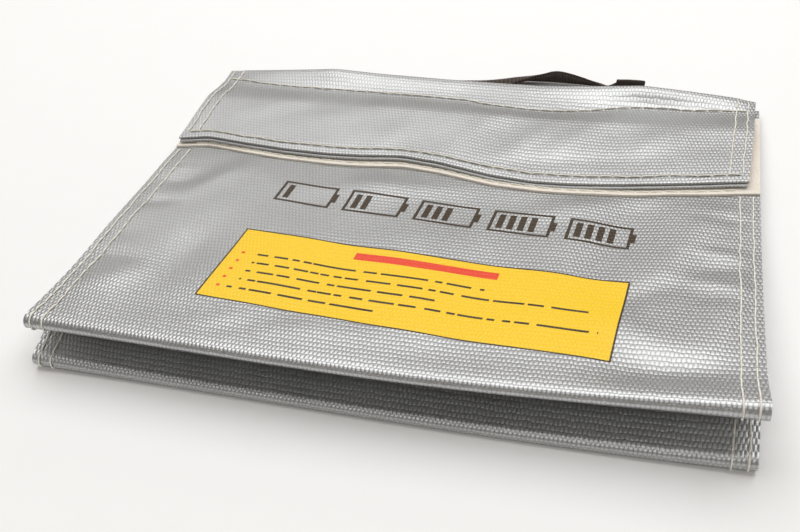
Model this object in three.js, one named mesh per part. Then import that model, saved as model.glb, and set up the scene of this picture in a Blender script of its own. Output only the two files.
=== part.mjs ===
import * as THREE from "three";

// Charging and storage bag for lithium batteries, made of coated glass-fibre cloth.
// It lies on its back: X runs across the bag, +Y from the gusseted bottom to the top fold,
// +Z up from the table. One strip of cloth makes the front, the folded-in bottom, the back
// and the flap. Each fold that moves parts two pieces. Sizes are in millimetres.

// Bag
const bagWidth = 300;
const bagLength = 230;
const upperLipRadius = 5;
const upperLipHeight = 25;
const lowerLipRadius = 4.5;
const lowerLipReach = 5.5;
const lowerLipEndLift = 1.2;
const gussetDepth = 43;
const creaseHeight = 18.5;
const pouchHeight = 9.6;
const slopeBeforeTape = 2;
const seamBorder = 40;
const seamMeetLength = 8;
const seamHeightAtFlap = 7;
const mouthSetback = 13;
const topFoldDepth = 6.3;
const foldFlatLength = 1;

// Flap and its closing tapes
const flapLength = 77;
const flapWidth = 296;
const flapFoldBehindRow = 10.5;
const flapFrontToRow = 5.5;
const liningPastRow = 2.5;
const liningInset = 0.5;
const hookTapeInset = 1;
const tapeWidth = 50;
const hookTapeWidth = 292;
const loopTapeReveal = 3;
const tapeEdgeToRow = 2.5;

// Handle
const webbingWidth = 16;
const handleEndSpread = 165;
const handleEndWidth = 17;
const handleEndLength = 17;
const handleEndThickness = 3;
const backRampLength = 14;
const handlePivotGap = 1;
const handlePivotToStrap = 0.4;

// Materials' thicknesses, and the clearance left between neighbours
const cloth = 0.5;
const tape = 1;
const webbing = 1.5;
const thread = 0.4;
const threadWidth = 0.9;
const clearance = 0.3;

// Seam rows
const outerRow = 3.3;
const innerRow = 9;
const gussetRowStart = 1;
const gussetRowEnd = 7;
const boxStitchInset = 3;

const halfWidth = bagWidth / 2;
const foldS = bagLength - cloth / 2;
const slopeEnd = bagLength - flapLength - loopTapeReveal - slopeBeforeTape;
const mouthS = bagLength - mouthSetback;
const frontRest = pouchHeight + cloth / 2;

// Share of the way from the panel's flat middle to its sewn edge, at a distance across the bag
const drapeKnots = [[0, 0], [0.2, 0.08], [0.4, 0.26], [0.6, 0.5], [0.8, 0.77], [1, 1]];
const panelStep = 9;
const shortestPart = 0.5;

function drapeShare(x) {
  const along = Math.max(0, (Math.abs(x) - (halfWidth - seamBorder)) / seamBorder);
  for (let i = 1; i < drapeKnots.length; i++) {
    const [a, shareA] = drapeKnots[i - 1];
    const [b, shareB] = drapeKnots[i];
    if (along <= b) return shareA + (shareB - shareA) * (along - a) / (b - a);
  }
  return 1;
}

// Stations across the bag at which a cloth's line is taken, out to a given half width
function stationsTo(half) {
  const inside = drapeKnots.map(([along]) => halfWidth - seamBorder + seamBorder * along);
  const right = [...inside.filter((x) => x < half - shortestPart), half];
  return [...right.map((x) => -x).reverse(), ...right];
}

// Height between knots that each give a distance s and a height in the middle and at the edge
function heightOn(knots, x, s) {
  const share = drapeShare(x);
  const heights = knots.map(([at, middle, edge]) => [at, middle + (edge - middle) * share]);
  for (let i = 1; i < heights.length; i++) {
    const [a, low] = heights[i - 1];
    const [b, high] = heights[i];
    if (s <= b) return low + (high - low) * (s - a) / (b - a);
  }
  return heights[heights.length - 1][1];
}

// Line of a panel between two distances, with a point at every knot and every few millimetres
function panelLine(knots, x, from, to) {
  const inside = knots.map(([at]) => at)
    .filter((at) => at > from + shortestPart && at < to - shortestPart);
  const stops = [from, ...inside, to];
  const line = [from];
  for (let i = 1; i < stops.length; i++) {
    const [a, b] = [stops[i - 1], stops[i]];
    const parts = Math.ceil((b - a) / panelStep);
    for (let j = 1; j <= parts; j++) line.push(a + (b - a) * j / parts);
  }
  return line.map((s) => [s, heightOn(knots, x, s)]);
}

// Half circle round a lip, from one tangent to the other by way of the front
const lipSteps = 10;
function lipArc(centreS, centreZ, radius, turn) {
  const points = [];
  for (let i = 0; i <= lipSteps; i++) {
    const angle = -Math.PI / 2 + Math.PI * i / lipSteps;
    points.push([centreS - radius * Math.cos(angle), centreZ + turn * radius * Math.sin(angle)]);
  }
  return points;
}

// Left-hand normals of a line in the plane across the bag
function lineNormals(line) {
  return line.map((point, i) => {
    const before = line[Math.max(i - 1, 0)];
    const after = line[Math.min(i + 1, line.length - 1)];
    const run = after[0] - before[0];
    const rise = after[1] - before[1];
    const length = Math.hypot(run, rise);
    return [-rise / length, run / length];
  });
}

// A sheet, tape or thread row: a line taken at stations across X, moved off by an offset and
// given a thickness. It is one closed solid.
function sheetSolid(name, material, stations, lineAt, thickness, offset = 0) {
  const positions = [];
  let ringSize = 0;
  for (const x of stations) {
    const line = lineAt(x);
    const normals = lineNormals(line);
    const side = (amount) => line.map(([s, z], i) =>
      [x, s + normals[i][0] * amount - bagLength / 2, z + normals[i][1] * amount]);
    const ring = [...side(offset + thickness / 2), ...side(offset - thickness / 2).reverse()];
    ringSize = ring.length;
    for (const point of ring) positions.push(...point);
  }
  const index = [];
  const quad = (a, b, c, d) => index.push(a, b, c, a, c, d);
  for (let j = 0; j + 1 < stations.length; j++) {
    for (let k = 0; k < ringSize; k++) {
      const next = (k + 1) % ringSize;
      const here = j * ringSize;
      quad(here + k, here + ringSize + k, here + ringSize + next, here + next);
    }
  }
  const last = (stations.length - 1) * ringSize;
  for (let k = 0; k + 1 < ringSize / 2; k++) {
    const across = ringSize - 1 - k;
    quad(last + k, last + across, last + across - 1, last + k + 1);
    quad(k, k + 1, across - 1, across);
  }
  const geometry = new THREE.BufferGeometry();
  geometry.setAttribute("position", new THREE.Float32BufferAttribute(positions, 3));
  geometry.setIndex(index);
  geometry.computeVertexNormals();
  return named(new THREE.Mesh(geometry, material.clone()), name);
}

function named(object, name) {
  object.name = name;
  return object;
}

function block(name, material, size, centre) {
  const mesh = new THREE.Mesh(new THREE.BoxGeometry(...size), material.clone());
  mesh.position.set(centre[0], centre[1] - bagLength / 2, centre[2]);
  return named(mesh, name);
}

function finish(colour, roughness, metalness) {
  return new THREE.MeshStandardMaterial({ color: colour, roughness, metalness });
}

const silverCloth = finish(0xbfc1c3, 0.45, 0.3);
const loopPile = finish(0xf0eae0, 0.95, 0);
const hookPile = finish(0xe9e2d6, 0.85, 0);
const blackWebbing = finish(0x2a1e14, 0.85, 0);
const creamThread = finish(0xf4f1e4, 0.8, 0);

function group(name, ...children) {
  const made = named(new THREE.Group(), name);
  made.add(...children);
  return made;
}

// Rows on each side of a panel, an outer and an inner one. They run along the panel's line.
function sideRows(prefix, edge, lineAt, offset) {
  const rows = [];
  for (const [side, sign] of [["left", -1], ["right", 1]]) {
    for (const [row, inset] of [["outer", outerRow], ["inner", innerRow]]) {
      const middle = sign * (edge - inset);
      const stations = [middle - threadWidth / 2, middle + threadWidth / 2];
      rows.push(sheetSolid(`${prefix}_thread_${side}_${row}`, creamThread, stations,
        lineAt, thread, offset));
    }
  }
  return rows;
}

// A row that runs across the bag on a panel's line, at one distance from the lips
function crossRow(name, half, knots, s, offset) {
  const lineAt = (x) => [s - threadWidth / 2, s + threadWidth / 2]
    .map((at) => [at, heightOn(knots, x, at)]);
  return sheetSolid(name, creamThread, stationsTo(half), lineAt, thread, offset);
}

const threadOnCloth = cloth / 2 + clearance + thread / 2;
const insideInnerRow = innerRow + threadWidth / 2 + clearance;

// Front: the upper lip, then a slope down to the flap, then level to the mouth. Its side edges
// come down to the seam, where they are sewn to the edges of the back.
const upperLipMid = upperLipRadius - cloth / 2;
const upperLipS = upperLipRadius;
const upperLipTop = upperLipHeight + upperLipMid;
const upperLipBottom = upperLipHeight - upperLipMid;
const wallPitch = cloth + clearance;
const seamStandOff = 2 * wallPitch;
const creaseClearance = 0.5;
const bendOpening = 0.45;
const upperWallCrease = creaseHeight + (cloth + creaseClearance) / 2;
const lowerWallCrease = creaseHeight - (cloth + creaseClearance) / 2;
const seamMeetS = gussetDepth + seamMeetLength;
const seamMeetZ = creaseHeight + (seamHeightAtFlap - creaseHeight) * seamMeetLength
  / (slopeEnd - gussetDepth);
const slopeAt = (s) => upperLipTop
  + (frontRest - upperLipTop) * (s - upperLipS) / (slopeEnd - upperLipS);
const frontKnots = [
  [upperLipS, upperLipTop, upperLipTop],
  [gussetDepth, slopeAt(gussetDepth), upperWallCrease + seamStandOff],
  [seamMeetS, slopeAt(seamMeetS), seamMeetZ + wallPitch / 2],
  [slopeEnd, frontRest, seamHeightAtFlap + wallPitch / 2],
  [bagLength, frontRest, seamHeightAtFlap + wallPitch / 2],
];

// The gusset opens about its crease. Where the front bends over the crease, its two parts stand
// apart by more the higher they are above it, so that the lower one can turn.
const bendS = (x) => gussetDepth + clearance
  + (heightOn(frontKnots, x, gussetDepth) + cloth / 2 - creaseHeight) * bendOpening;
const onFront = (from, to) => (x) => panelLine(frontKnots, x, from, to);
const lipLine = (x) => [
  ...lipArc(upperLipS, upperLipHeight, upperLipMid, 1),
  ...panelLine(frontKnots, x, upperLipS, gussetDepth - clearance).slice(1),
];

const loopOffset = cloth / 2 + clearance + tape / 2;
const loopFrontS = bagLength - flapLength - loopTapeReveal;
const loopBackS = loopFrontS + tapeWidth;

const front = [
  sheetSolid("front_panel", silverCloth, stationsTo(halfWidth),
    (x) => panelLine(frontKnots, x, bendS(x), mouthS), cloth),
  sheetSolid("loop_tape", loopPile, stationsTo(halfWidth), onFront(loopFrontS, loopBackS),
    tape, loopOffset),
  crossRow("loop_tape_thread_front", halfWidth - insideInnerRow, frontKnots,
    loopFrontS + tapeEdgeToRow, -threadOnCloth),
  crossRow("loop_tape_thread_back", halfWidth - insideInnerRow, frontKnots,
    loopBackS - tapeEdgeToRow, -threadOnCloth),
  ...sideRows("front", halfWidth,
    (x) => panelLine(frontKnots, x, bendS(x), loopFrontS - clearance), threadOnCloth),
];

// Flap: outer cloth, a lining cloth and the hook tape, sewn together round the tape
const hookOffset = loopOffset + tape + clearance;
const liningOffset = hookOffset + tape / 2 + clearance + cloth / 2;
const flapOffset = liningOffset + cloth + clearance;
const flapFrontS = bagLength - flapLength;
const flapRowTopS = bagLength - flapFoldBehindRow;
const flapRowFrontS = flapFrontS + flapFrontToRow;
const hookFrontS = flapFrontS + hookTapeInset;
const flapThreadOffset = flapOffset + threadOnCloth;

const flap = group("flap",
  sheetSolid("flap_cloth", silverCloth, stationsTo(flapWidth / 2),
    onFront(flapFrontS, bagLength), cloth, flapOffset),
  sheetSolid("flap_lining", silverCloth, stationsTo(flapWidth / 2 - liningInset),
    onFront(flapFrontS + liningInset, flapRowTopS + liningPastRow), cloth, liningOffset),
  sheetSolid("hook_tape", hookPile, stationsTo(hookTapeWidth / 2),
    onFront(hookFrontS, hookFrontS + tapeWidth), tape, hookOffset),
  crossRow("flap_thread_top", flapWidth / 2 - insideInnerRow, frontKnots,
    flapRowTopS, flapThreadOffset),
  crossRow("flap_thread_front", flapWidth / 2 - insideInnerRow, frontKnots,
    flapRowFrontS, flapThreadOffset),
  ...sideRows("flap", flapWidth / 2,
    onFront(flapRowFrontS, bagLength - clearance), flapThreadOffset),
);

// Back: the lower lip, then flat on the table, then a ramp up over the handle's sewn ends
const lowerLipMid = lowerLipRadius - cloth / 2;
const lowerLipS = lowerLipRadius - lowerLipReach;
const backRaised = handleEndThickness + clearance + cloth / 2;
const handleEndFrontS = bagLength + handlePivotGap / 2 - handleEndLength;
const rampTopS = handleEndFrontS - clearance;
const backEndS = bagLength - topFoldDepth - clearance;
const backKnots = [
  [lowerLipS, cloth / 2, cloth / 2 + lowerLipEndLift],
  [gussetDepth, cloth / 2, lowerWallCrease - seamStandOff],
  [seamMeetS, cloth / 2, seamMeetZ - wallPitch / 2],
  [slopeEnd, cloth / 2, seamHeightAtFlap - wallPitch / 2],
  [rampTopS - backRampLength, cloth / 2, seamHeightAtFlap - wallPitch / 2],
  [rampTopS, backRaised, seamHeightAtFlap - wallPitch / 2],
  [bagLength, backRaised, seamHeightAtFlap - wallPitch / 2],
];
const lowerLipArc = (x) =>
  lipArc(lowerLipS, lowerLipRadius + lowerLipEndLift * drapeShare(x), lowerLipMid, -1);
const backLine = (x) => [
  ...lowerLipArc(x),
  ...panelLine(backKnots, x, lowerLipS, backEndS).slice(1),
];

// Top fold: the cloth turns up behind the mouth to meet the flap
const foldRadius = topFoldDepth - cloth / 2 - foldFlatLength;
const foldSteps = 5;
const foldLine = (x) => {
  const low = heightOn(backKnots, x, bagLength);
  const high = heightOn(frontKnots, x, bagLength) + flapOffset - cloth / 2 - clearance;
  const radius = Math.min(foldRadius, (high - low) / 2);
  const points = [[backEndS + clearance, low]];
  for (let i = 0; i <= foldSteps; i++) {
    const angle = Math.PI / 2 * i / foldSteps;
    points.push([foldS - radius + radius * Math.sin(angle),
      low + radius - radius * Math.cos(angle)]);
  }
  return [...points, [foldS, high]];
};

const handleEnds = [["left", -1], ["right", 1]].flatMap(([side, sign]) => {
  const x = sign * handleEndSpread / 2;
  const s = handleEndFrontS + handleEndLength / 2;
  const stitched = backEndS - boxStitchInset;
  const halfStitch = handleEndWidth / 2 - boxStitchInset;
  return [
    block(`handle_end_${side}`, blackWebbing,
      [handleEndWidth, handleEndLength, handleEndThickness], [x, s, handleEndThickness / 2]),
    sheetSolid(`handle_end_stitch_${side}`, creamThread, [x - halfStitch, x + halfStitch],
      () => [stitched - threadWidth, stitched].map((at) => [at, heightOn(backKnots, 0, at)]),
      thread, threadOnCloth),
  ];
});

const back = [
  sheetSolid("lower_lip", silverCloth, stationsTo(halfWidth), lowerLipArc, cloth),
  sheetSolid("back_panel", silverCloth, stationsTo(halfWidth),
    (x) => panelLine(backKnots, x, lowerLipS + clearance, backEndS), cloth),
  sheetSolid("top_fold", silverCloth, stationsTo(halfWidth), foldLine, cloth),
  ...handleEnds,
  ...sideRows("back", halfWidth, backLine, -threadOnCloth),
];

// Gusset: two walls that run from the lips back to the crease between them
function wallLine(fromS, fromZ, toZ) {
  return () => [[fromS + clearance, fromZ], [gussetDepth, toZ]];
}

function wallRowLine(fromS, fromZ, toZ) {
  const heightAt = (s) => fromZ + (toZ - fromZ) * (s - fromS) / (gussetDepth - fromS);
  return () => [fromS + gussetRowStart, gussetDepth - gussetRowEnd].map((s) => [s, heightAt(s)]);
}

// The lower wall stays with the back. The upper wall and the upper lip turn about the crease.
const lowerLipTop = lowerLipRadius + lowerLipMid;
const lowerGusset = [
  sheetSolid("gusset_lower_wall", silverCloth, [-halfWidth, halfWidth],
    wallLine(lowerLipS, lowerLipTop, lowerWallCrease), cloth),
  ...sideRows("gusset_lower", halfWidth,
    wallRowLine(lowerLipS, lowerLipTop, lowerWallCrease), threadOnCloth),
];
const upperGusset = group("upper_gusset",
  sheetSolid("front_lip", silverCloth, stationsTo(halfWidth), lipLine, cloth),
  ...sideRows("front_lip", halfWidth, lipLine, threadOnCloth),
  sheetSolid("gusset_upper_wall", silverCloth, [-halfWidth, halfWidth],
    wallLine(upperLipS, upperLipBottom, upperWallCrease), cloth),
  ...sideRows("gusset_upper", halfWidth,
    wallRowLine(upperLipS, upperLipBottom, upperWallCrease), -threadOnCloth),
);

// Handle: one length of webbing that lies behind the top fold, hinged where its ends are sewn
const strapFrontS = bagLength + handlePivotGap + handlePivotToStrap;
const handle = group("handle",
  block("handle_strap", blackWebbing,
    [handleEndSpread + handleEndWidth, webbingWidth, webbing],
    [0, strapFrontS + webbingWidth / 2, clearance + webbing / 2]),
);

const body = group("body", ...back, ...front, ...lowerGusset);
const bag = group("charging_bag", body, upperGusset, flap, handle);

export default bag;
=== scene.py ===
import math
import bpy
import numpy as np
from mathutils import Matrix, Vector


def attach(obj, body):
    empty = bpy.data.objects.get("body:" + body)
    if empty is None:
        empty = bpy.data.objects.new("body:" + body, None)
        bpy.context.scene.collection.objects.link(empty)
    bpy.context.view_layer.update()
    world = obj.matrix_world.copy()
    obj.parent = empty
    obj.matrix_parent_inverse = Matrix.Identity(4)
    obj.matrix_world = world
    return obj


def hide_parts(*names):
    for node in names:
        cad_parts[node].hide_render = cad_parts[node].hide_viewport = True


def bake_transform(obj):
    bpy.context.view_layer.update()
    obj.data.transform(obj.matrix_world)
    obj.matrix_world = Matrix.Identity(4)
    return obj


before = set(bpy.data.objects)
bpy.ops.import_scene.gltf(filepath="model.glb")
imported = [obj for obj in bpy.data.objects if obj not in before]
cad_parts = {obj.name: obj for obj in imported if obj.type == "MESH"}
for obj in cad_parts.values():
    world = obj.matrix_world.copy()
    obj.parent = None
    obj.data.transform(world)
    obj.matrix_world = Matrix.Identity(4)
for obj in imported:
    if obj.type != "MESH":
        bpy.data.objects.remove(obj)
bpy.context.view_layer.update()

# Camera. It stands in front of the bag and to its right, looks down at about 42 degrees
# and leans a little to one side.
camera_place = Vector((0.10562, -0.36205, 0.31851))
camera_target = Vector((-0.00823, -0.03005, 0.0))
camera_lean = math.radians(-6.685)
camera_data = bpy.data.cameras.new("camera")
camera_data.lens = 45.864
camera_data.sensor_width = 36
camera = bpy.data.objects.new("camera", camera_data)
bpy.context.scene.collection.objects.link(camera)
camera_turn = (camera_target - camera_place).to_track_quat("-Z", "Y").to_matrix().to_4x4()
camera.matrix_world = (Matrix.Translation(camera_place) @ camera_turn
                       @ Matrix.Rotation(camera_lean, 4, "Z"))
bpy.context.scene.camera = camera


# Floor and light. A sheet of white card under a large soft lamp overhead. A low strip behind
# puts a sheen on the coating and one in front lights the lips; the walls are dim and warm.
def linear(hex_colour):
    """An sRGB hex colour as linear red, green, blue and full cover."""
    parts = [int(hex_colour[i:i + 2], 16) / 255 for i in (1, 3, 5)]
    return (*[c / 12.92 if c <= 0.04045 else ((c + 0.055) / 1.055) ** 2.4 for c in parts], 1.0)


maths = "ShaderNodeMath"


def node(tree, kind, links=None, **settings):
    """Adds one node. Links go to its inputs by name or number and are nodes, sockets or plain
    values. Settings are its own properties, or inputs where the name is an input's."""
    made = tree.nodes.new(kind)
    for name, value in settings.items():
        if hasattr(made, name):
            setattr(made, name, value)
        else:
            made.inputs[name.replace("_", " ")].default_value = value
    if not isinstance(links, dict):
        links = dict(enumerate(links or ()))
    for place, source in links.items():
        source = source.outputs[0] if hasattr(source, "outputs") else source
        if isinstance(source, bpy.types.NodeSocket):
            tree.links.new(source, made.inputs[place])
        else:
            made.inputs[place].default_value = source
    return made


def new_material(name):
    material = bpy.data.materials.new(name)
    material.use_nodes = True
    material.node_tree.nodes.clear()
    return material, material.node_tree


def plain_ops_object():
    """Deselects all, so that the next operator works on its own new object."""
    if bpy.context.object and bpy.context.object.mode != "OBJECT":
        bpy.ops.object.mode_set(mode="OBJECT")
    bpy.ops.object.select_all(action="DESELECT")


def finish_shader(tree, shader):
    node(tree, "ShaderNodeOutputMaterial", {"Surface": shader.outputs["BSDF"]})


floor_size = 4.4
plain_ops_object()
bpy.ops.mesh.primitive_grid_add(x_subdivisions=8, y_subdivisions=8, size=floor_size)
floor = bpy.context.object
floor.name = "floor"
# White card is pressed paper pulp: matt, with a grain that is only just there.
card, tree = new_material("white card, matt")
grain = node(tree, "ShaderNodeTexNoise", {"Vector": node(
    tree, "ShaderNodeTexCoord").outputs["Object"]}, Scale=60.0, Detail=3.0)
tone = node(tree, "ShaderNodeMapRange", {"Value": grain}, To_Min=0.95, To_Max=0.97)
mix = node(tree, "ShaderNodeCombineColor", (tone, tone, tone))
finish_shader(tree, node(tree, "ShaderNodeBsdfPrincipled", {"Base Color": mix}, Roughness=0.9))
floor.data.materials.append(card)


def lamp(name, place, target, size, power, colour="#FFFFFF"):
    data = bpy.data.lights.new(name, "AREA")
    data.shape = "RECTANGLE"
    data.size, data.size_y = size
    data.energy = power
    data.color = linear(colour)[:3]
    made = bpy.data.objects.new(name, data)
    bpy.context.scene.collection.objects.link(made)
    made.location = place
    made.rotation_euler = (Vector(target) - Vector(place)).to_track_quat("-Z", "Y").to_euler()


lamp("overhead_softbox", (0.0, 0.6, 1.55), (0.0, 0.0, 0.0), (2.4, 1.7), 29)
lamp("back_strip", (-0.35, 1.35, 0.75), (0.0, 0.0, 0.0), (1.8, 0.4), 1.5)
lamp("front_strip", (0.2, -1.0, 1.5), (0.0, 0.0, 0.0), (1.4, 0.4), 4)
world = bpy.data.worlds.new("pale studio")
world.use_nodes = True
tree = world.node_tree
tree.nodes.clear()
walls = node(tree, "ShaderNodeBackground", Color=linear("#FFF5EA"), Strength=0.24)
backdrop = node(tree, "ShaderNodeBackground", Color=linear("#FAFAFA"), Strength=1.0)
seen = node(tree, "ShaderNodeLightPath").outputs["Is Camera Ray"]
node(tree, "ShaderNodeOutputWorld", (node(tree, "ShaderNodeMixShader", (seen, walls, backdrop)),))
bpy.context.scene.world = world
bpy.context.scene.view_settings.view_transform = "Standard"

# Front cloth. Glass-fibre cloth with a silver coating; it starts at the gusset's crease, makes
# the upper wall and the upper lip, and runs up under the flap to the mouth. It is sewn at its
# sides, so it is held flat there and puffs a little between. All sizes here are millimetres.
half_width = 150.0
bag_length = 230.0
cloth = 0.5
mouth_at = 217.0
crease_at = 43.0
upper_lip_radius = 2.3
wall_length = 40.0
slope_length = 216.0
wall_sag = 1.2
fold_strength = 1.6
under_flap_at = 132.0
rng = np.random.default_rng(7)


def smooth_curve(knots, window=14.0):
    """A function through knots of (distance, value), with its corners rounded off."""
    knots = np.array(knots, float)
    fine = np.arange(knots[0, 0] - window, knots[-1, 0] + window, 0.5)
    values = np.interp(fine, knots[:, 0], knots[:, 1])
    kernel = np.hanning(int(window / 0.5) | 1)
    kernel /= kernel.sum()
    padded = np.pad(values, len(kernel) // 2, mode="edge")
    soft = np.convolve(padded, kernel, mode="valid")
    return lambda s: np.interp(s, fine, soft)


def drape(x, power=2.2):
    return np.abs(np.asarray(x, float) / half_width) ** power


def between(x, left, middle, right, power=2.2):
    """Value across the bag from those at its left edge, middle and right edge."""
    return middle + (np.where(np.asarray(x) < 0, left, right) - middle) * drape(x, power)


front_left = smooth_curve([(0, 25.6), (11, 24.2), (26, 21.4), (42, 18.7), (58, 17.1),
                           (75, 15.4), (93, 12.9), (113, 10.4), (133, 8.3), (155, 5.2),
                           (190, 4.4), (217, 4.0)])
front_middle = smooth_curve([(-6, 26.2), (5, 25.4), (20, 23.2), (43, 20.2), (70, 16.4),
                             (100, 12.6), (130, 8.9), (150, 6.5), (180, 6.0), (217, 6.0)])
front_right = smooth_curve([(-2, 31.6), (10, 29.0), (19, 27.0), (44, 22.4), (71, 17.4),
                            (100, 13.2), (147, 8.8), (190, 6.6), (217, 5.6)])


def soft_waves(seed, count, shortest, longest, height):
    """Low waves in many directions, as in cloth that has been folded away and laid out."""
    picks = np.random.default_rng(seed)
    turns = picks.uniform(0, np.pi, count)
    lengths = picks.uniform(shortest, longest, count)
    starts = picks.uniform(0, 2 * np.pi, count)
    heights = height * lengths / longest
    def at(x, s):
        total = 0
        for turn, length, start, high in zip(turns, lengths, starts, heights):
            total = total + high * np.sin(
                2 * np.pi * (x * np.cos(turn) + s * np.sin(turn)) / length + start)
        return total
    return at


def folds(marks):
    """Soft folds and dips: each is a middle (x, s), a turn, a half length, a half width and a
    height, which is below nothing for a dip."""
    def at(x, s):
        total = 0
        for mx, ms, turn, long, wide, high in marks:
            c, n = math.cos(math.radians(turn)), math.sin(math.radians(turn))
            along = (x - mx) * c + (s - ms) * n
            off = -(x - mx) * n + (s - ms) * c
            total = total + high * np.exp(-(along / long) ** 2 - (off / wide) ** 2)
        return total
    return at


pucker_place = 134.0
seam_puckers = []
for side in (-1, 1):
    at = 52.0
    while at < 145.0:
        seam_puckers.append((side * pucker_place, at, side * rng.uniform(-14, 14),
                             rng.uniform(9, 16), rng.uniform(3.0, 4.6), rng.uniform(-0.55, 0.5)))
        at += rng.uniform(8, 15)
front_folds = folds([
    (112, 92, 84, 46, 13, 0.9), (86, 96, 78, 40, 11, -0.7), (118, 18, 8, 22, 10, -1.3),
    (70, 128, 24, 34, 8, 0.6), (-20, 132, 8, 40, 9, 0.5), (-118, 120, 60, 26, 8, 0.6),
    (-102, 60, 78, 30, 12, -0.7), (28, 60, 14, 60, 12, 0.45), (-40, 16, 4, 40, 8, 0.5),
    (136, 60, 75, 24, 7, 0.6), (-128, 36, 40, 14, 7, 0.5), (100, 40, -30, 22, 9, 0.6),
    (122, 112, 68, 30, 6, 0.5), (104, 66, 40, 20, 6, -0.5), (-60, 12, 24, 16, 6, -0.5),
] + seam_puckers)
front_waves = soft_waves(11, 9, 26, 95, 0.16)


def lip_bow(x, middle):
    """How far a lip stands forward of a straight line between its ends."""
    return middle * (1 - (np.asarray(x, float) / half_width) ** 2)


def crease_height(x):
    return between(x, 18.1, 17.2, 20.2)


def upper_lip(x):
    """Centre and radius of the upper lip's bend."""
    radius = between(x, 3.2, upper_lip_radius, 3.6, 4)
    centre_s = between(x, 3.6, 4.9, 3.0, 4) - lip_bow(x, 6.0)
    return centre_s, between(x, 22.2, 24.0, 28.3), radius


arc_length = math.pi * upper_lip_radius
front_total = wall_length + arc_length + slope_length


def front_point(x, q):
    """The front cloth's middle surface: x across, q along the cloth from the crease."""
    x, q = np.broadcast_arrays(np.asarray(x, float), np.asarray(q, float))
    centre_s, centre_z, radius = upper_lip(x)
    wall = np.clip(q / wall_length, None, 1)
    wall_s = crease_at + (centre_s - crease_at) * wall
    wall_z = crease_height(x) + cloth + (centre_z - radius - crease_height(x) - cloth) * wall
    wall_z = wall_z - wall_sag * np.sin(np.pi * np.clip(wall, 0, 1)) * (1 - drape(x, 6))
    turn = -np.pi / 2 + np.pi * np.clip((q - wall_length) / arc_length, 0, 1)
    bend_s = centre_s - radius * np.cos(turn)
    bend_z = centre_z + radius * np.sin(turn)
    run = np.clip((q - wall_length - arc_length) / slope_length, 0, None)
    slope_s = centre_s + (mouth_at - centre_s) * run
    table = between(x, front_left(slope_s), front_middle(slope_s), front_right(slope_s))
    lip_top = centre_z + radius
    near_lip = np.exp(-((slope_s - centre_s) / 9.0) ** 2)
    start = between(x, front_left(centre_s), front_middle(centre_s), front_right(centre_s))
    slope_z = table + (lip_top - start) * near_lip
    calm = (1 - near_lip) * (1 - 0.75 * np.exp(-((half_width - np.abs(x)) / 7.0) ** 2))
    calm = calm * (1 - 0.75 * np.clip((slope_s - under_flap_at) / 16, 0, 1))
    slope_z = slope_z + fold_strength * calm * (front_folds(x, slope_s) + front_waves(x, slope_s))
    s = np.where(q < wall_length, wall_s, np.where(q < wall_length + arc_length, bend_s, slope_s))
    z = np.where(q < wall_length, wall_z, np.where(q < wall_length + arc_length, bend_z, slope_z))
    flare = between(x, -0.3, 0, 0.9, 10) * np.exp(-((q - wall_length - arc_length / 2) / 14) ** 2)
    return np.stack([x + flare, s, z], -1)


def on_surface(surface, x, q, lift=0.0, side=1):
    """A point that stands off a cloth's middle surface by lift, on its coated side."""
    step = 0.4
    du = surface(x + step, q) - surface(x - step, q)
    dv = surface(x, q + step) - surface(x, q - step)
    normal = np.cross(du, dv)
    normal /= np.linalg.norm(normal, axis=-1, keepdims=True)
    return surface(x, q) + side * normal * np.asarray(lift, float)[..., None]


def to_metres(points):
    """Bag millimetres (across, up the bag from the lips' line, height) as frame metres."""
    return (np.asarray(points) - (0, bag_length / 2, 0)) / 1000


def columns_to(half, fine=14.0, coarse_step=2.4):
    """Places across a cloth, closer together near its sewn edges."""
    inner = half - fine
    coarse = np.linspace(-inner, inner, int(2 * inner / coarse_step) + 1)
    border = np.linspace(inner, half, 13)[1:]
    return np.concatenate([-border[::-1], coarse, border])


def sheet_mesh(name, columns, rows, place, side, materials, thickness):
    """A grid is laid on the surface, turned coated side out and given its thickness."""
    plain_ops_object()
    nx, nq = len(columns) - 1, len(rows) - 1
    bpy.ops.mesh.primitive_grid_add(x_subdivisions=nx, y_subdivisions=nq, size=2)
    piece = bpy.context.object
    piece.name = piece.data.name = name
    mesh = piece.data
    flat = np.zeros(len(mesh.vertices) * 3)
    mesh.vertices.foreach_get("co", flat)
    flat = flat.reshape(-1, 3)
    ix = np.rint((flat[:, 0] + 1) / 2 * nx).astype(int)
    iq = np.rint((flat[:, 1] + 1) / 2 * nq).astype(int)
    x, q = np.asarray(columns)[ix], np.asarray(rows)[iq]
    mesh.vertices.foreach_set("co", to_metres(place(x, q)).ravel())
    corners = np.zeros(len(mesh.loops), int)
    mesh.loops.foreach_get("vertex_index", corners)
    uv = np.stack([(x[corners] + half_width) / 1000, q[corners] / 1000], -1)
    mesh.uv_layers.active.data.foreach_set("uv", uv.ravel())
    for material in materials:
        mesh.materials.append(material)
    mesh.update()
    if side < 0:
        bpy.ops.object.mode_set(mode="EDIT")
        bpy.ops.mesh.select_all(action="SELECT")
        bpy.ops.mesh.flip_normals()
        bpy.ops.object.mode_set(mode="OBJECT")
    thicken = piece.modifiers.new("thickness", "SOLIDIFY")
    thicken.thickness = thickness / 1000
    thicken.offset = 0
    thicken.use_even_offset = True
    thicken.material_offset = 1
    thicken.material_offset_rim = 2
    bpy.ops.object.modifier_apply(modifier="thickness")
    bpy.ops.object.shade_smooth_by_angle(angle=math.radians(50))
    return piece


# Silver-coated glass-fibre cloth, woven and brushed with aluminium paint in silicone. Its yarns
# stand up as rows of long beads that catch the light one by one. The real beads are finer than
# a millimetre along the weft and are drawn as coarse as they need to show.
bead_across = 1.75
bead_along = 2.5
bead_drift = 0.7


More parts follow.
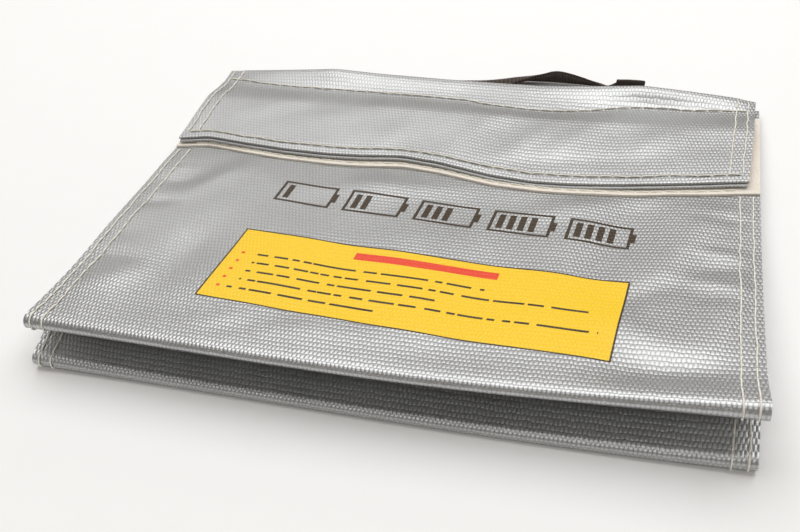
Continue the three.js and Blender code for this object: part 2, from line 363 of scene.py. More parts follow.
def cloth_weave(tree):
    """Where a point lies on the flat cloth, and the height of the woven beads there, from 0 in
    the gaps to 1 on the crowns."""
    flat = node(tree, "ShaderNodeTexCoord").outputs["UV"]
    place = node(tree, "ShaderNodeSeparateXYZ", {"Vector": flat})
    drift = node(tree, "ShaderNodeTexNoise", {"Vector": flat}, Scale=260.0, Detail=2.0)
    drift = node(tree, maths, (drift, 0.5), operation="SUBTRACT")
    drift = node(tree, maths, (drift, bead_drift), operation="MULTIPLY")
    row = node(tree, maths, (place.outputs["Y"], bead_along / 1000), operation="DIVIDE")
    row = node(tree, maths, (row, drift), operation="ADD")
    shift = node(tree, maths, (row,), operation="FLOOR")
    shift = node(tree, maths, (shift, 2.0), operation="MODULO")
    shift = node(tree, maths, (shift, 0.5), operation="MULTIPLY")
    column = node(tree, maths, (place.outputs["X"], bead_across / 1000), operation="DIVIDE")
    column = node(tree, maths, (column, shift), operation="ADD")
    sideways = node(tree, maths, (drift, 0.6), operation="MULTIPLY")
    column = node(tree, maths, (column, sideways), operation="ADD")
    waves = []
    for turns, roundness in ((column, 0.9), (row, 0.5)):
        wave = node(tree, maths, (turns, math.pi), operation="MULTIPLY")
        wave = node(tree, maths, (wave,), operation="SINE")
        wave = node(tree, maths, (wave,), operation="ABSOLUTE")
        waves.append(node(tree, maths, (wave, roundness), operation="POWER"))
    return place, node(tree, maths, waves, operation="MULTIPLY")


def coated_cloth(name, add_print=None, shade="#C4C6C8", gap_shade="#ABABA9", metal=0.75):
    """The coating's material. It is metal paint in clear silicone, so it is part metal."""
    material, tree = new_material(name)
    place, bead = cloth_weave(tree)
    flat = node(tree, "ShaderNodeTexCoord").outputs["UV"]
    uneven = node(tree, "ShaderNodeTexNoise", {"Vector": flat}, Scale=38.0, Detail=4.0,
                  Roughness=0.6)
    speck = node(tree, "ShaderNodeTexNoise", {"Vector": flat}, Scale=900.0, Detail=2.0)
    # The crowns take the cloth's tone and the gaps between the beads a darker, warmer grey:
    # painted shade between the yarns.
    crown = node(tree, "ShaderNodeMapRange", {"Value": bead}, From_Min=0.1, From_Max=0.75)
    weave_with_gap_shade = node(tree, "ShaderNodeMix", {"Factor": crown, 6: linear(gap_shade), 7: linear(shade)},
                data_type="RGBA")
    worn = node(tree, "ShaderNodeMapRange", {"Value": uneven}, To_Min=0.86, To_Max=1.1)
    colour = node(tree, "ShaderNodeVectorMath", {0: weave_with_gap_shade.outputs[2], "Scale": worn},
                  operation="SCALE")
    rough = node(tree, "ShaderNodeMapRange", {"Value": speck}, To_Min=0.26, To_Max=0.44)
    if add_print:
        colour, metal = add_print(tree, place, colour, metal)
    lumps = node(tree, "ShaderNodeBump", {"Height": bead}, Strength=0.42, Distance=0.0005)
    fine = node(tree, "ShaderNodeBump", {"Height": speck, "Normal": lumps}, Strength=0.12,
                Distance=0.0002)
    finish_shader(tree, node(tree, "ShaderNodeBsdfPrincipled", {
        "Base Color": colour, "Metallic": metal, "Roughness": rough, "Normal": fine}))
    return material


# Screen print on the front: a yellow panel with a thin dark outline, a red bar and rows of
# dark dashes behind red dots, and above it a row of plain battery outlines. It is ink on the
# coating, so the beads show through it.
panel_middle, panel_turn, panel_size = (6.2, 51.0), -3.6, (178.6, 53.0)
panel_outline = 0.8
panel_bar = (1.4, 18.6, 66.0, 5.0)
panel_lines = ((8.0, -75, 31), (1.7, -75, 76), (-4.7, -75, 14), (-11.0, -75, 82),
               (-17.4, -78, -10))
dot_inset, dot_size = 7, 1.6
dash_height, dash_gaps = 1.3, 0.4
mark_middle, mark_turn = (8.5, 112.0), -4.0
mark_count, mark_pitch, mark_cell, mark_line = 5, 36.0, (29.0, 17.5), 1.5
bar_pitch, bar_width, most_bars = 5, 3, 4
ink_dark, ink_yellow, ink_red = "#3A2A10", "#FFD21E", "#F04A26"


def bag_print(tree, place, cloth_colour, metal):
    """The coating's colour and metal share with the ink over it."""
    u = node(tree, maths, (place.outputs["X"], 1000.0), operation="MULTIPLY")
    u = node(tree, maths, (u, half_width), operation="SUBTRACT")
    v = node(tree, maths, (place.outputs["Y"], 1000.0), operation="MULTIPLY")
    v = node(tree, maths, (v, wall_length + arc_length), operation="SUBTRACT")

    def turned(middle, degrees):
        c, n = math.cos(math.radians(degrees)), math.sin(math.radians(degrees))
        du = node(tree, maths, (u, middle[0]), operation="SUBTRACT")
        dv = node(tree, maths, (v, middle[1]), operation="SUBTRACT")
        parts = [node(tree, maths, pair, operation="MULTIPLY")
                 for pair in ((du, c), (dv, n), (dv, c), (du, n))]
        return (node(tree, maths, parts[:2], operation="ADD"),
                node(tree, maths, parts[2:], operation="SUBTRACT"))

    def block(a, b, centre_a, centre_b, wide, high):
        inside = []
        for along, centre, size in ((a, centre_a, wide), (b, centre_b, high)):
            away = node(tree, maths, (along, centre), operation="SUBTRACT")
            away = node(tree, maths, (away,), operation="ABSOLUTE")
            inside.append(node(tree, maths, (away, size / 2), operation="LESS_THAN"))
        return node(tree, maths, inside, operation="MULTIPLY")

    def ring(a, b, centre_a, centre_b, wide, high, line):
        return node(tree, maths, (
            block(a, b, centre_a, centre_b, wide, high),
            block(a, b, centre_a, centre_b, wide - 2 * line, high - 2 * line)),
            operation="SUBTRACT")

    def any_of(first, *rest):
        for one in rest:
            first = node(tree, maths, (first, one), operation="MAXIMUM")
        return first

    a, b = turned(panel_middle, panel_turn)
    wide, high = panel_size
    panel = block(a, b, 0, 0, wide, high)
    outline = ring(a, b, 0, 0, wide, high, panel_outline)
    bar = block(a, b, *panel_bar)
    dots = any_of(*[block(a, b, -wide / 2 + dot_inset, line_b, dot_size, dot_size)
                    for line_b, _, _ in panel_lines])
    # The dashes of a line are cut by a noise along it, with its own start for each line.
    line_number = node(tree, maths, (b, 20.6), operation="ADD")
    line_number = node(tree, maths, (line_number, 6.35), operation="DIVIDE")
    line_number = node(tree, maths, (line_number,), operation="FLOOR")
    line_start = node(tree, maths, (line_number, 31.7), operation="MULTIPLY")
    along = node(tree, maths, (a, 0.21), operation="MULTIPLY")
    wobble = node(tree, "ShaderNodeTexNoise", {"W": node(
        tree, maths, (along, line_start), operation="ADD")}, noise_dimensions="1D", Scale=1.0,
        Detail=0.0)
    inked_part = node(tree, maths, (wobble, dash_gaps), operation="GREATER_THAN")
    lines = any_of(*[block(a, b, (left + right) / 2, line_b, right - left, dash_height)
                     for line_b, left, right in panel_lines])
    dashes = node(tree, maths, (lines, inked_part), operation="MULTIPLY")
    e, f = turned(mark_middle, mark_turn)
    cell_wide, cell_high = mark_cell
    marks = []
    for k in range(mark_count):
        centre = (k - (mark_count - 1) / 2) * mark_pitch
        marks.append(ring(e, f, centre, 0, cell_wide, cell_high, mark_line))
        marks.append(block(e, f, centre + cell_wide / 2 + 0.9, 0, 1.8, cell_high * 0.4))
        for j in range(min(k + 1, most_bars)):
            marks.append(block(e, f, centre - cell_wide / 2 + bar_pitch * (j + 1), 0, bar_width,
                               cell_high - 6))
    dark = any_of(outline, dashes, *marks)
    colour = cloth_colour.outputs[0]
    for mask, ink in ((panel, ink_yellow), (any_of(bar, dots), ink_red), (dark, ink_dark)):
        colour = node(tree, "ShaderNodeMix", {"Factor": mask, 6: colour, 7: linear(ink)},
                      data_type="RGBA").outputs[2]
    bare = node(tree, maths, (1.0, any_of(panel, dark)), operation="SUBTRACT")
    return colour, node(tree, maths, (bare, metal), operation="MULTIPLY")


silver_printed = coated_cloth("silver-coated glass cloth, screen printed", bag_print)
silver_inside = coated_cloth("silver-coated glass cloth, inner face", shade="#B9B8B6")
# A cut edge of the glass cloth, not coated: pale yarn ends that stand out, dull and rough.
cut_edge, tree = new_material("cut glass-fibre edge")
tufts = node(tree, "ShaderNodeTexNoise", {"Vector": node(
    tree, "ShaderNodeTexCoord").outputs["Object"]}, Scale=1400.0, Detail=3.0)
blend = node(tree, "ShaderNodeMix", {"Factor": tufts, 6: linear("#B8B2A4"),
                                     7: linear("#F2EEE2")}, data_type="RGBA")
bump = node(tree, "ShaderNodeBump", {"Height": tufts}, Strength=0.6, Distance=0.0003)
finish_shader(tree, node(tree, "ShaderNodeBsdfPrincipled", {
    "Base Color": blend.outputs[2], "Normal": bump}, Roughness=0.85))

front_rows = np.concatenate([
    np.linspace(0, wall_length, 20)[:-1],
    np.linspace(wall_length, wall_length + arc_length, 13)[:-1],
    np.linspace(wall_length + arc_length, front_total, 92)])
front_cloth = sheet_mesh("front_cloth", columns_to(half_width), front_rows, front_point, 1,
                         [silver_printed, silver_inside, cut_edge], cloth)
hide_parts("front_panel", "front_lip", "gusset_upper_wall")
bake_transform(front_cloth)

# Back cloth. The same strip of cloth goes on from the crease: the lower wall, the lower lip,
# the back that lies on the table, and a low ramp over the handle's sewn ends.
lower_lip_radius = 2.4
back_wall_length = 44.0
lower_arc_length = math.pi * lower_lip_radius
back_end = 225.0
lower_wall_sag = 1.6
ramp_height = 3.3
ramp_start = 198
back_total = back_wall_length + lower_arc_length + back_end + 1


def lower_lip(x):
    radius = between(x, 3.0, lower_lip_radius, 3.2, 4)
    centre_s = -1.4 - lip_bow(x, 2.0 + 1.6 * np.asarray(x, float) / half_width)
    return centre_s, radius + cloth / 2 + between(x, 1.0, 0.0, 0.8, 6), radius


def back_point(x, q):
    x, q = np.broadcast_arrays(np.asarray(x, float), np.asarray(q, float))
    centre_s, centre_z, radius = lower_lip(x)
    wall = np.clip(q / back_wall_length, None, 1)
    wall_s = crease_at + (centre_s - crease_at) * wall
    top = crease_height(x) - cloth
    wall_z = top + (centre_z + radius - top) * wall
    wall_z = wall_z - lower_wall_sag * np.sin(np.pi * np.clip(wall, 0, 1)) * (1 - drape(x, 5))
    turn = np.pi / 2 - np.pi * np.clip((q - back_wall_length) / lower_arc_length, 0, 1)
    bend_s = centre_s - radius * np.cos(turn)
    bend_z = centre_z + radius * np.sin(turn)
    run = np.clip((q - back_wall_length - lower_arc_length)
                  / (back_total - back_wall_length - lower_arc_length), 0, None)
    base_s = centre_s + (back_end - centre_s) * run
    edge = np.where(x < 0, front_left(base_s), front_right(base_s)) - 0.75
    crease_edge = np.interp(base_s, [-2, 12, 43, 51], [1.2, 3.2, 16.0, 60.0])
    edge = np.minimum(edge, crease_edge)
    lifted = np.clip((np.abs(x) - 96) / 54, 0, 1) ** 1.7
    floor_z = cloth / 2 + ramp_height * np.clip((base_s - ramp_start) / 15, 0, 1) ** 1.5
    base_z = floor_z + np.maximum(edge - floor_z, 0) * lifted
    base_z = base_z + (centre_z - radius - cloth / 2) * np.exp(-((base_s - centre_s) / 12) ** 2)
    s = np.where(q < back_wall_length, wall_s,
                 np.where(q < back_wall_length + lower_arc_length, bend_s, base_s))
    z = np.where(q < back_wall_length, wall_z,
                 np.where(q < back_wall_length + lower_arc_length, bend_z, base_z))
    return np.stack([x, s, z], -1)


silver = coated_cloth("silver-coated glass cloth")
back_rows = np.concatenate([
    np.linspace(0, back_wall_length, 22)[:-1],
    np.linspace(back_wall_length, back_wall_length + lower_arc_length, 13)[:-1],
    np.linspace(back_wall_length + lower_arc_length, back_total, 92)])
back_cloth = sheet_mesh("back_cloth", columns_to(half_width), back_rows, back_point, -1,
                        [silver, silver_inside, cut_edge], cloth)
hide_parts("back_panel", "lower_lip", "gusset_lower_wall")
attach(back_cloth, "body")

# Flap. The cloth turns up behind the mouth and folds forward over it. Its front edge is
# turned under and its outline waves, because the tapes below hold it up unevenly.
flap_half = 148.0
fold_top = smooth_curve([(-150, 5.6), (-128, 8.0), (-114, 9.5), (-82, 12.8), (-56, 11.2),
                         (-15, 10.2), (15, 9.8), (36, 10.1), (68, 12.3), (90, 14.4),
                         (115, 12.5), (138, 10.2), (150, 7.4)], 16)
flap_front = smooth_curve([(-150, 155.2), (-132, 158.6), (-109, 155.4), (-86, 152.6),
                           (-64, 151.6), (-43, 152.4), (-22, 154.6), (-2, 151.9), (6, 149.9),
                           (26, 144.9), (47, 142.7), (66, 143.2), (86, 145.1), (105, 147.8),
                           (124, 150.5), (142, 153.5), (150, 154.3)], 10)
flap_row = smooth_curve([(-148, 219.2), (-134, 216.4), (-120, 214.4), (-97, 212.8), (-30, 212.2),
                         (-2, 211.0), (12, 208.0), (34, 206.2), (45, 206.0), (66, 209.4),
                         (82, 213.6), (97, 215.4), (118, 216.2), (148, 218.6)], 14)
fold_radius = 3.2
fold_rise = 9.0
flap_length = 77.5
hem_depth = 9.0
hem_radius = 0.5
flap_total = fold_rise + flap_length + hem_depth
tapes_end = 193
flap_folds = folds([
    (18, 196, 64, 22, 6, 0.8), (40, 176, 58, 26, 7, 0.7), (66, 186, 52, 26, 7, 0.8),
    (88, 214, 70, 14, 5, 0.7), (98, 178, 58, 20, 7, 0.6), (-8, 214, 84, 16, 5, -0.6),
    (-60, 188, 20, 40, 9, 0.5), (-110, 186, 30, 24, 8, 0.5), (120, 200, 18, 26, 7, -0.6),
    (-34, 166, 76, 14, 6, 0.5), (-88, 214, 68, 16, 6, 0.6), (54, 158, 10, 40, 6, -0.5),
])
flap_waves = soft_waves(23, 8, 24, 80, 0.14)


def flap_height(x, s):
    """Height of the flap's cloth over a place in the bag."""
    front = between(x, 10.2, 11.4, 13.3)
    sewn = np.minimum(between(x, 6.7, 8.7, 8.2, 4), fold_top(x))
    row = flap_row(x)
    falling = np.clip((s - tapes_end) / (row - tapes_end), 0, 1)
    rising = np.clip((s - row) / (bag_length - 3 - row), 0, 1)
    z = front + (sewn - front) * falling ** 2 * (3 - 2 * falling)
    z = z + (fold_top(x) - sewn) * rising ** 1.3
    share = np.clip((s - flap_front(x)) / (bag_length - flap_front(x)), 0, 1)
    puffed = 0.2 + 0.8 * np.sin(np.pi * np.clip(share / 0.62, 0, 1)) ** 0.6
    return z + (flap_folds(x, s) + flap_waves(x, s)) * puffed


def turned_under(x, under, curl, ahead, drop):
    """The hem of a cloth of the flap, by its way under from the edge."""
    angle = np.clip(under / (np.pi * curl), 0, 1) * np.pi
    edge = flap_front(x) - ahead
    s = edge - curl * np.sin(angle) + np.clip(under - np.pi * curl, 0, None)
    return s, flap_height(x, np.maximum(s, flap_front(x))) - drop - curl * (1 - np.cos(angle))


def flap_point(x, q):
    """q runs from behind the mouth up round the fold, forward to the edge and under it."""
    x, q = np.broadcast_arrays(np.asarray(x, float), np.asarray(q, float))
    top = fold_top(x)
    low = np.minimum(np.where(np.abs(x) < 140, 3.8, 3.0), top - 1.5)
    radius = np.minimum(fold_radius, (top - low) / 2)
    turn = np.pi * np.clip(q / fold_rise, 0, 1)
    bend_s = bag_length - radius + radius * np.sin(turn)
    middle = (top + low) / 2
    bend_z = middle - (middle - low) * np.cos(turn)
    start = bag_length - fold_radius
    reach = start - flap_front(x)
    run = np.clip((q - fold_rise) / (flap_total - hem_depth - fold_rise), 0, 1)
    s = bag_length - radius - run * (bag_length - radius - flap_front(x))
    z = flap_height(x, s)
    z = z + (top - z) * np.exp(-(run * reach / 5.0) ** 2)
    under = np.clip(q - (flap_total - hem_depth), 0, None)
    hem_s, hem_z = turned_under(x, under, hem_radius, 0.0, 0.0)
    s = np.where(q < fold_rise, bend_s, np.where(under > 0, hem_s, s))
    z = np.where(q < fold_rise, bend_z, np.where(under > 0, hem_z, z))
    return np.stack([x + flap_skew(x, s), s, z], -1)


def flap_skew(x, s):
    """The flap lies a little askew: its front edge is further left than its fold."""
    return -(2.3 + 1.3 * x / half_width) * np.clip((bag_length - s) / 80, 0, 1)


flap_rows = np.concatenate([
    np.linspace(0, fold_rise, 12)[:-1],
    np.linspace(fold_rise, flap_total - hem_depth, 52)[:-1],
    flap_total - hem_depth + np.array([0, 0.2, 0.4, 0.65, 0.9, 1.15, 1.35, 1.57, 3, 5, 7, 9])])
flap_cover = sheet_mesh("flap_cover", columns_to(flap_half), flap_rows, flap_point, -1,
                        [silver, silver_inside, cut_edge], cloth)
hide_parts("flap_cloth", "top_fold")
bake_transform(flap_cover)


# Flap lining and the two closing tapes. The lining is a second cloth under the flap with its
# own turned edge. The hook tape is sewn to it, and the wide loop tape to the bag's front.
hem_drop = 1.55
lining_thinner = 0.9
lining_ahead = 1.1
lining_length = 68.0
lining_hem_radius = 0.45
hook_width = 48.0
loop_width = 66.0


def flap_layer(x, q, inset, back_limit, total, below):
    """A surface below the flap's cloth, from its front edge back to a given place."""
    x, q = np.broadcast_arrays(np.asarray(x, float), np.asarray(q, float))
    front = flap_front(x) + inset
    s = front + np.clip(q, 0, None) / total * (back_limit - front)
    behind_hem = np.clip((s - flap_front(x) - 9) / 8, 0, 1)
    drop = hem_drop - lining_thinner * behind_hem ** 2 * (3 - 2 * behind_hem) + below
    hem_s, hem_z = turned_under(x, np.clip(-q, 0, None), lining_hem_radius, -inset,
                                hem_drop + below)
    z = np.where(q < 0, hem_z, flap_height(x, s) - drop)
    return np.stack([x + flap_skew(x, s), np.where(q < 0, hem_s, s), z], -1)


def lining_point(x, q):
    return flap_layer(x, q, -lining_ahead, 219.0, lining_length, 0.0)


def hook_point(x, q):
    return flap_layer(x, q, 2.8, 199.0, hook_width, 0.8)


lining_rows = np.concatenate([[-3.2, -2.2, -1.42, -1.2, -1.0, -0.8, -0.6, -0.4, -0.2],
                              np.linspace(0, lining_length, 46)])
flap_lining = sheet_mesh("flap_under_cloth", columns_to(147.4), lining_rows, lining_point, -1,
                         [silver, silver, cut_edge], cloth)
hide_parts("flap_lining")
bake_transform(flap_lining)


def pile_tape(name, light, shade, pitch):
    """Woven nylon closing tape: a close pile on a flat ground, soft and dull."""
    material, tree = new_material(name)
    flat = node(tree, "ShaderNodeTexCoord").outputs["UV"]
    tuft = node(tree, "ShaderNodeTexVoronoi", {"Vector": flat}, Scale=1000 / pitch)
    soft = node(tree, "ShaderNodeTexNoise", {"Vector": flat}, Scale=160.0, Detail=5.0,
                Roughness=0.7)
    mixed = node(tree, maths, (tuft, soft), operation="MULTIPLY")
    ramp = node(tree, "ShaderNodeMix", {"Factor": mixed, 6: linear(light), 7: linear(shade)},
                data_type="RGBA")
    bump = node(tree, "ShaderNodeBump", {"Height": soft}, Strength=0.5, Distance=0.0006)
    finish_shader(tree, node(tree, "ShaderNodeBsdfPrincipled", {
        "Base Color": ramp.outputs[2], "Normal": bump}, Roughness=0.95, Sheen_Weight=0.3))
    return material


hook_pile = pile_tape("hook tape, woven nylon", "#F1E9DC", "#CDBFA9", 1.6)
loop_pile = pile_tape("loop tape, brushed nylon", "#F6F0E6", "#D9CBB8", 0.9)
hook_tape = sheet_mesh("hook_strip", columns_to(146.0), np.linspace(0, hook_width, 30),
                       hook_point, -1, [hook_pile] * 3, 0.9)
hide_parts("hook_tape")
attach(hook_tape, "flap")


def loop_point(x, q):
    x, q = np.broadcast_arrays(np.asarray(x, float), np.asarray(q, float))
    reveal = between(x, 3.4, 5.6, 5.2, 2) + 0.25 * np.sin(x / 9)
    s = flap_front(x) - reveal + q
    run = (s - upper_lip(x)[0]) / (mouth_at - upper_lip(x)[0])
    along = wall_length + arc_length + run * slope_length
    return on_surface(front_point, x, along, np.full(x.shape, 0.85))


loop_tape = sheet_mesh("loop_strip", columns_to(half_width), np.linspace(0, loop_width, 34),
                       loop_point, 1, [loop_pile] * 3, 1.0)
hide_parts("loop_tape")
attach(loop_tape, "body")

# Seams. Cream sewing thread in long lockstitches, two rows down each side, one row under the
# fold and one along the flap's edge. Each stitch dives into the cloth at both ends.
thread_radius = 0.38
stitch_pitch = 6.6
stitch_length = 6.4

# Twisted polyester thread: pale cream, dull, with slanting strands.
thread_white, tree = new_material("sewing thread, twisted polyester")
twist = node(tree, "ShaderNodeTexWave", {"Vector": node(
    tree, "ShaderNodeTexCoord").outputs["UV"]}, bands_direction="DIAGONAL", Scale=1.6,
    Distortion=1.5)
strands = twist.outputs["Fac"]
fibre = node(tree, "ShaderNodeMix", {"Factor": strands, 6: linear("#EFEADA"),
                                     7: linear("#FFFDF4")}, data_type="RGBA")
bump = node(tree, "ShaderNodeBump", {"Height": strands}, Strength=0.5, Distance=0.0002)
finish_shader(tree, node(tree, "ShaderNodeBsdfPrincipled", {
    "Base Color": fibre.outputs[2], "Normal": bump}, Roughness=0.7, Sheen_Weight=0.2))


def seam_row(name, place, length, pitch=stitch_pitch, seed=1):
    """One stitch is modelled along X, repeated by an array and laid where place puts it."""
    count = max(2, int(round(length / pitch)))
    pitch = length / count
    plain_ops_object()
    bpy.ops.mesh.primitive_cylinder_add(vertices=6, radius=thread_radius, depth=stitch_length,
                                        rotation=(0, math.pi / 2, 0))
    stitch = bpy.context.object
    bpy.ops.object.transform_apply(location=True, rotation=True, scale=True)
    bpy.ops.object.mode_set(mode="EDIT")
    for k in range(1, 7):
        bpy.ops.mesh.select_all(action="SELECT")
        bpy.ops.mesh.bisect(plane_co=(stitch_length * (k / 7 - 0.5), 0, 0), plane_no=(1, 0, 0))
    bpy.ops.object.mode_set(mode="OBJECT")
    for vertex in stitch.data.vertices:
        end = abs(vertex.co.x) / (stitch_length / 2)
        vertex.co.z += 0.2 - 0.5 * end ** 6
        vertex.co.y *= 1 - 0.2 * end ** 3
    repeat = stitch.modifiers.new("row", "ARRAY")
    repeat.count = count
    repeat.use_relative_offset = False
    repeat.use_constant_offset = True
    repeat.constant_offset_displace = (pitch, 0, 0)
    bpy.ops.object.modifier_apply(modifier="row")
    mesh = stitch.data
    flat = np.zeros(len(mesh.vertices) * 3)
    mesh.vertices.foreach_get("co", flat)
    flat = flat.reshape(-1, 3)
    t = flat[:, 0] + pitch / 2
    number = np.clip((t / pitch).astype(int), 0, count - 1)
    picks = np.random.default_rng(seed)
    stray = picks.normal(0, 0.22, count + 1)
    share = t / pitch - number
    drift = stray[number] * (1 - share) + stray[number + 1] * share
    lift = picks.uniform(-0.04, 0.1, count)[number]
    at, right, ahead, above = place(*np.array([[1, 2, 1, 1], [0, 0, 1, 0], [0, 0, 0, 1.0]]))
    hand = np.sign(np.dot(np.cross(right - at, ahead - at), above - at))
    points = place(t, hand * (flat[:, 1] + drift), flat[:, 2] + lift)
    mesh.vertices.foreach_set("co", to_metres(points).ravel())
    mesh.update()
    stitch.name = mesh.name = name
    mesh.materials.append(thread_white)
    bpy.ops.object.shade_smooth()
    return stitch


def side_place(surface, x, first, side, lift):
    sign = 1 if x > 0 else -1
    return lambda t, a, h: on_surface(surface, x + sign * a, first + t, h + lift, side)


rows_across = (("outer", 3.3), ("inner", 9.0))
over_cloth = cloth / 2 + 0.25
for side_name, sign in (("left", -1), ("right", 1)):
    for row_name, inset in rows_across:
        x = sign * (half_width - inset)
        tag = f"{side_name}_{row_name}"
        tape_front = wall_length + arc_length + flap_front(x) - 8
        made = seam_row(f"front_seam_{tag}", side_place(front_point, x, 4, 1, over_cloth),
                        tape_front - 4, seed=int(abs(x) + 3 * sign))
        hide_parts(f"front_thread_{tag}", f"front_lip_thread_{tag}",
                    f"gusset_upper_thread_{tag}")
        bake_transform(made)
        made = seam_row(f"back_seam_{tag}", side_place(back_point, x, 4, -1, over_cloth),
                        back_total - 8, seed=int(abs(x) + 5 * sign))
        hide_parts(f"back_thread_{tag}", f"gusset_lower_thread_{tag}")
        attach(made, "body")
        x = sign * (flap_half - inset)
        made = seam_row(f"flap_seam_{tag}", side_place(flap_point, x, fold_rise + 1, -1,
                                                       over_cloth),
                        flap_length - 6, seed=int(abs(x) + 7 * sign))
        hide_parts(f"flap_thread_{tag}")
        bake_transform(made)


def cross_place(surface, first_x, q, side, lift):
    return lambda t, a, h: on_surface(surface, first_x + t, q + a, h + lift, side)


def top_row_place(t, a, h):
    x = -flap_half + 4 + t
    back = bag_length - fold_radius
    share = (back - flap_row(x)) / (back - flap_front(x))
    q = fold_rise + share * (flap_total - hem_depth - fold_rise)
    return on_surface(flap_point, x, q + a, h + over_cloth, -1)


made = seam_row("flap_seam_top", top_row_place, 2 * flap_half - 8, seed=31)
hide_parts("flap_thread_top")
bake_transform(made)
made = seam_row("flap_seam_front", cross_place(
    flap_point, -flap_half + 4, flap_total - hem_depth - 4.6, -1, over_cloth),
    2 * flap_half - 8, seed=32)
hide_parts("flap_thread_front")
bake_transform(made)
for k, (name, q) in enumerate((("front", 2.5), ("back", 63.0))):
    made = seam_row(f"loop_tape_seam_{name}",
                    cross_place(loop_point, -half_width + 10, q, 1, 0.55),
                    2 * half_width - 20, seed=41 + k)
    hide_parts(f"loop_tape_thread_{name}")
    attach(made, "body")

# Handle. One length of black ribbed nylon webbing. Its ends are sewn under the back cloth
# near the fold, and the strap stands up behind the fold on the right and lies flat on the left.
webbing_thickness = 1.5
rib_pitch = 1.6
# Woven nylon webbing, dyed black: close ribs across it, dull, a little brown on the ribs' crests,
# more in some places than others.
black_webbing, tree = new_material("black nylon webbing, ribbed")
where = node(tree, "ShaderNodeTexCoord").outputs["UV"]
split = node(tree, "ShaderNodeSeparateXYZ", {"Vector": where})
ribs = node(tree, maths, (split.outputs["Y"], 1000 * 2 * math.pi / rib_pitch),
            operation="MULTIPLY")
ribs = node(tree, maths, (ribs,), operation="SINE")
yarns = node(tree, "ShaderNodeTexNoise", {"Vector": where}, Scale=700.0, Detail=3.0)
mixed = node(tree, maths, (ribs, yarns, 0.5), operation="MULTIPLY_ADD")
dye = node(tree, "ShaderNodeMix", {"Factor": mixed, 6: linear("#140D08"),
                                   7: linear("#4A3828")}, data_type="RGBA")
bump = node(tree, "ShaderNodeBump", {"Height": mixed}, Strength=0.7, Distance=0.0005)
finish_shader(tree, node(tree, "ShaderNodeBsdfPrincipled", {
    "Base Color": dye.outputs[2], "Normal": bump}, Roughness=0.75, Sheen_Weight=0.15))

# Strap line, from right to left: places of one edge of the webbing, its middle and its other
# edge.
strap_line = np.array([
    [(90.5, 231.6, 1.2), (82.5, 231.6, 1.2), (74.6, 231.6, 1.2)],
    [(90.5, 235.2, 1.6), (82.5, 235.2, 1.6), (74.6, 235.2, 1.6)],
    [(90.4, 237.4, 4.2), (82.5, 237.4, 4.2), (74.6, 237.5, 4.2)],
    [(90.4, 238.0, 8.0), (82.5, 238.0, 8.0), (75.0, 238.2, 8.0)],
    [(90.0, 238.6, 9.7), (82.8, 238.4, 10.0), (75.6, 238.6, 9.5)],
    [(83.0, 242.2, 4.4), (79.0, 241.2, 6.0), (75.8, 239.8, 7.4)],
    [(73.0, 244.6, 0.9), (71.4, 242.2, 2.9), (70.0, 239.4, 4.4)],
    [(66.0, 245.8, 0.9), (65.0, 243.2, 3.9), (64.2, 239.6, 5.8)],
    [(57.0, 247.0, 0.9), (56.6, 243.8, 5.2), (56.2, 239.6, 9.0)],
    [(43.0, 247.6, 0.9), (43.4, 243.6, 7.2), (44.0, 239.0, 12.2)],
    [(33.0, 247.6, 0.9), (34.0, 243.6, 6.2), (35.0, 238.7, 10.0)],
    [(20.0, 246.6, 0.9), (21.0, 242.4, 4.8), (22.0, 237.4, 5.6)],
    [(4.0, 242.6, 0.9), (4.0, 237.6, 3.7), (4.0, 232.4, 1.6)],
    [(-14.0, 240.6, 0.9), (-14.0, 235.8, 3.5), (-14.0, 231.6, 1.2)],
    [(-34.0, 240.4, 0.9), (-34.0, 235.8, 3.5), (-34.0, 231.5, 1.1)],
    [(-60.0, 242.0, 0.9), (-60.0, 236.4, 3.8), (-60.0, 231.5, 1.1)],
    [(-80.0, 243.6, 0.9), (-80.0, 237.4, 3.2), (-80.0, 231.5, 1.1)],
    [(-91.0, 244.4, 0.9), (-91.0, 238.0, 1.8), (-91.0, 231.5, 1.1)],
])


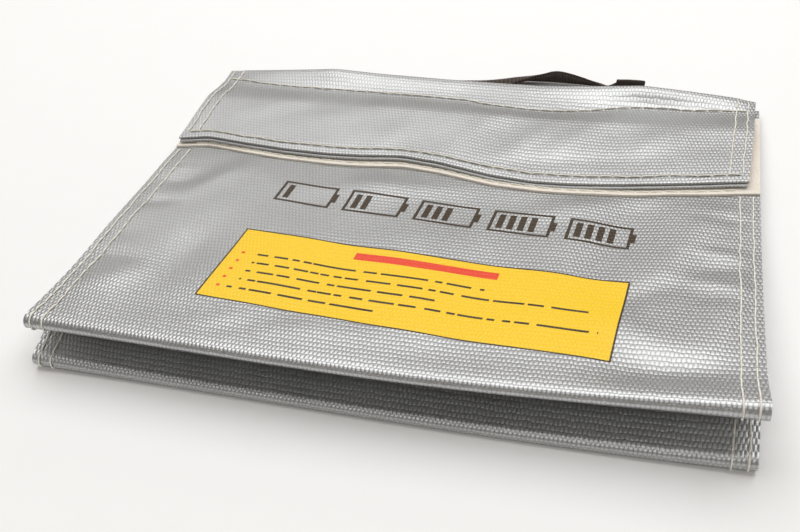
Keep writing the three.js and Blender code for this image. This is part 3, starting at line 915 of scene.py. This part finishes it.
def through(points, steps):
    """Smooth line through points, by even Catmull-Rom parts."""
    padded = np.concatenate([[2 * points[0] - points[1]], points, [2 * points[-1] - points[-2]]])
    out = []
    for i in range(len(points) - 1):
        p0, p1, p2, p3 = padded[i:i + 4]
        for t in np.linspace(0, 1, steps, endpoint=False):
            out.append(0.5 * (2 * p1 + (p2 - p0) * t + (2 * p0 - 5 * p1 + 4 * p2 - p3) * t ** 2
                              + (3 * p1 - p0 - 3 * p2 + p3) * t ** 3))
    return np.array(out + [points[-1]])


strap_edges = through(strap_line, 10)


def strap_point(x, q):
    """x runs across the webbing from 0 to 1, q along it in steps of the strap's line."""
    i = np.clip(np.asarray(q, float), 0, len(strap_edges) - 1.001)
    low = i.astype(int)
    part = (i - low)[:, None]
    edges = strap_edges[low] * (1 - part[..., None]) + strap_edges[low + 1] * part[..., None]
    share = np.asarray(x, float)[:, None]
    return (edges[:, 0] * (1 - share) * (1 - 2 * share) + edges[:, 1] * 4 * share * (1 - share)
            + edges[:, 2] * share * (2 * share - 1))


def webbing_mesh(name, columns, rows, place, thickness, length):
    piece = sheet_mesh(name, columns, rows, place, 1, [black_webbing] * 3, thickness)
    for corner in piece.data.uv_layers.active.data:
        u, v = corner.uv
        corner.uv = ((u - half_width / 1000) * 16, v * 1000 / rows[-1] * length / 1000)
    return piece


handle_strap = webbing_mesh("webbing_strap", np.linspace(0, 1, 9),
                            np.arange(len(strap_edges), dtype=float), strap_point,
                            webbing_thickness, 215.0)
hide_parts("handle_strap")
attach(handle_strap, "handle")

end_place, end_width, end_length = 82.5, 17.0, 16.8
for side_name, sign in (("left", -1), ("right", 1)):
    def end_point(x, q, sign=sign):
        x, q = np.broadcast_arrays(np.asarray(x, float), np.asarray(q, float))
        return np.stack([sign * end_place + x, 213.6 + q, 1.5 + 0 * q], -1)
    tab = webbing_mesh(f"webbing_end_{side_name}",
                       np.linspace(-end_width / 2, end_width / 2, 9),
                       np.linspace(0, end_length, 9), end_point, 2.9, 17.0)
    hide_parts(f"handle_end_{side_name}")
    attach(tab, "body")
    def bar_place(t, a, h, sign=sign):
        return np.stack([sign * end_place - 5.5 + t, 220.5 + a, 3.9 + h], -1)
    stitches = seam_row(f"webbing_end_seam_{side_name}", bar_place, 11.0, 5.5, seed=51 + sign)
    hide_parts(f"handle_end_stitch_{side_name}")
    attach(stitches, "body")
